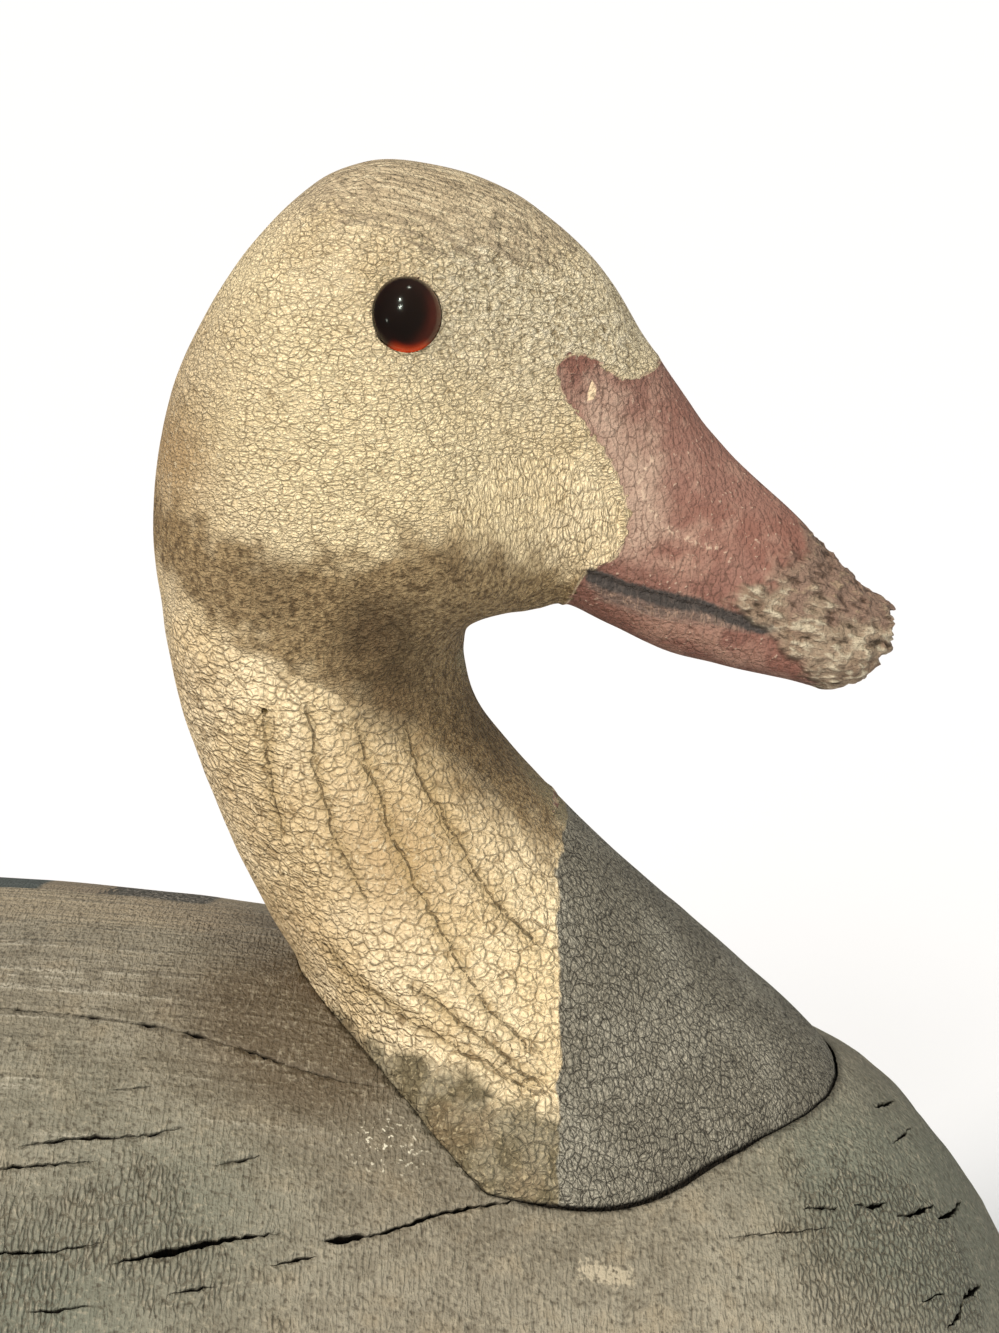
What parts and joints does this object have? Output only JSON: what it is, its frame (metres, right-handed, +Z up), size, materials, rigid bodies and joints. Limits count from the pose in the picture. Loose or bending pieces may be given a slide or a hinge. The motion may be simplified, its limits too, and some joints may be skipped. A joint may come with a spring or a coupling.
{
  "type": "goose decoy",
  "caption": "Carved wooden goose decoy with a raised tail and a curved neck, standing on a flat underside.",
  "frame": {"origin": "middle of the outer box on the ground under the decoy", "axes": "+X towards the breast and bill, +Y towards the bird's left, +Z up"},
  "size_m": [0.514, 0.215, 0.2711],
  "materials": {
    "body_paint": "weathered grey-brown paint on wood",
    "head_paint": "crackled cream, grey and red-brown paint on wood",
    "glass_eye": "polished dark amber glass"
  },
  "bodies": {
    "root": {"body": "body_paint", "head_and_neck": "head_paint", "eye_right": "glass_eye", "eye_left": "glass_eye"}
  },
  "joints": []
}
